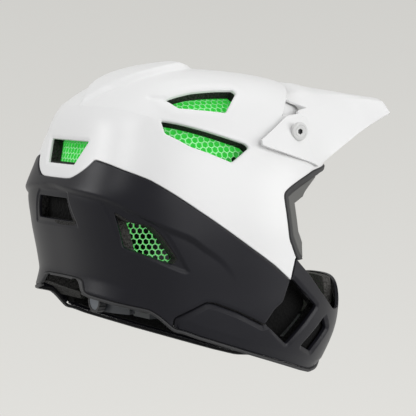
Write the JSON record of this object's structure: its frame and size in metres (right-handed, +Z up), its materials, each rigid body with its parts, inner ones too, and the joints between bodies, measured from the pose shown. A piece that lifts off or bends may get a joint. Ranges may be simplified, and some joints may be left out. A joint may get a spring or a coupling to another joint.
{
  "type": "downhill bike full face helmet",
  "caption": "Full face cycling helmet with a tilting visor, vented two-part shell, chin bar, foam liner with tube cores and a dial-fit cradle.",
  "frame": {"origin": "centre of the head at the shell's widest level, on the plane of symmetry", "axes": "+Z up, the face looks along -Y, the wearer's right is -X"},
  "size_m": [0.2242, 0.3136, 0.2669],
  "materials": {
    "white_shell": "satin paint over moulded shell",
    "dark_shell": "matte charcoal",
    "foam": "beaded dark foam",
    "core": "bright green tube core",
    "trim": "matt black",
    "pad": "grey wicking fabric",
    "dial": "grained plastic",
    "accent": "smooth grey cap",
    "webbing": "woven webbing",
    "steel": "zinc-coated",
    "screw": "silver anodised"
  },
  "bodies": {
    "helmet": {"upper_shell": "white_shell", "upper_shell_right": "white_shell", "upper_shell_left": "white_shell", "lower_shell": "dark_shell", "lower_shell_right": "dark_shell", "lower_shell_left": "dark_shell", "chin_bar_shell": "dark_shell", "chin_bar_shell_right": "dark_shell", "chin_bar_shell_left": "dark_shell", "impact_liner": "foam", "impact_liner_brow": "foam", "impact_liner_rear": "foam", "impact_liner_right": "foam", "impact_liner_left": "foam", "chin_bar_liner": "foam", "chin_bar_liner_right": "foam", "chin_bar_liner_left": "foam", "side_core_right": "core", "side_core_left": "core", "crown_core_right": "core", "crown_core_left": "core", "rear_core": "core", "port_trim": "trim", "port_trim_right": "trim", "port_trim_left": "trim", "base_edging": "trim", "visor_screw_right": "screw", "visor_screw_left": "screw", "visor_washers": "trim", "visor_inserts": "steel", "mouth_grille": "trim", "mouth_pad": "pad", "brow_pad": "pad", "crown_pad": "pad", "cheek_pad_right": "pad", "cheek_pad_left": "pad", "stem_anchor": "dial", "strap_right": "webbing", "strap_left": "webbing", "strap_anchors": "steel", "strap_rivets": "steel", "buckle_female": "dial", "magnet_female": "steel", "pad_dots": "trim"},
    "visor": {"visor": "white_shell"},
    "cradle": {"cradle_housing": "dial", "cradle_cover": "dial", "nape_pad": "pad", "cradle_stem": "dial"},
    "band_right": {"band_right": "dial"},
    "band_left": {"band_left": "dial"},
    "dial": {"dial_pinion": "dial", "fit_dial": "dial", "dial_cap": "accent"},
    "buckle": {"buckle_male": "dial", "magnet_male": "steel", "strap_loop_left": "webbing"},
    "keeper": {"strap_keeper": "trim"}
  },
  "joints": [
    {"name": "visor_tilt", "type": "hinge", "parent": "helmet", "child": "visor", "pos_m": [0, -0.065, 0.052], "axis": [-1, 0, 0], "range_deg": [0, 9]},
    {"name": "cradle_height", "type": "slide", "parent": "helmet", "child": "cradle", "axis": [0, 0.1771, 0.9842], "range_m": [-0.004, 0.008]},
    {"name": "dial_turn", "type": "hinge", "parent": "cradle", "child": "dial", "pos_m": [0, 0.07, -0.09], "axis": [0, -1, 0], "range_deg": [0, 150]},
    {"name": "band_right_draw", "type": "hinge", "parent": "cradle", "child": "band_right", "pos_m": [0, -0.004, -0.09], "axis": [0, 0, -1], "range_deg": [0, 8.4]},
    {"name": "band_left_draw", "type": "hinge", "parent": "cradle", "child": "band_left", "pos_m": [0, -0.004, -0.09], "axis": [0, 0, 1], "range_deg": [0, 8.4]},
    {"name": "buckle_slide", "type": "slide", "parent": "helmet", "child": "buckle", "axis": [0, -1, 0], "range_m": [0, 0.012]},
    {"name": "keeper_slide", "type": "slide", "parent": "helmet", "child": "keeper", "axis": [-1, 0, 0], "range_m": [0, 0.012]}
  ],
  "couplings": [
    {"joint": "band_right_draw", "follows": "dial_turn", "ratio": 0.055556},
    {"joint": "band_left_draw", "follows": "dial_turn", "ratio": 0.055556}
  ]
}
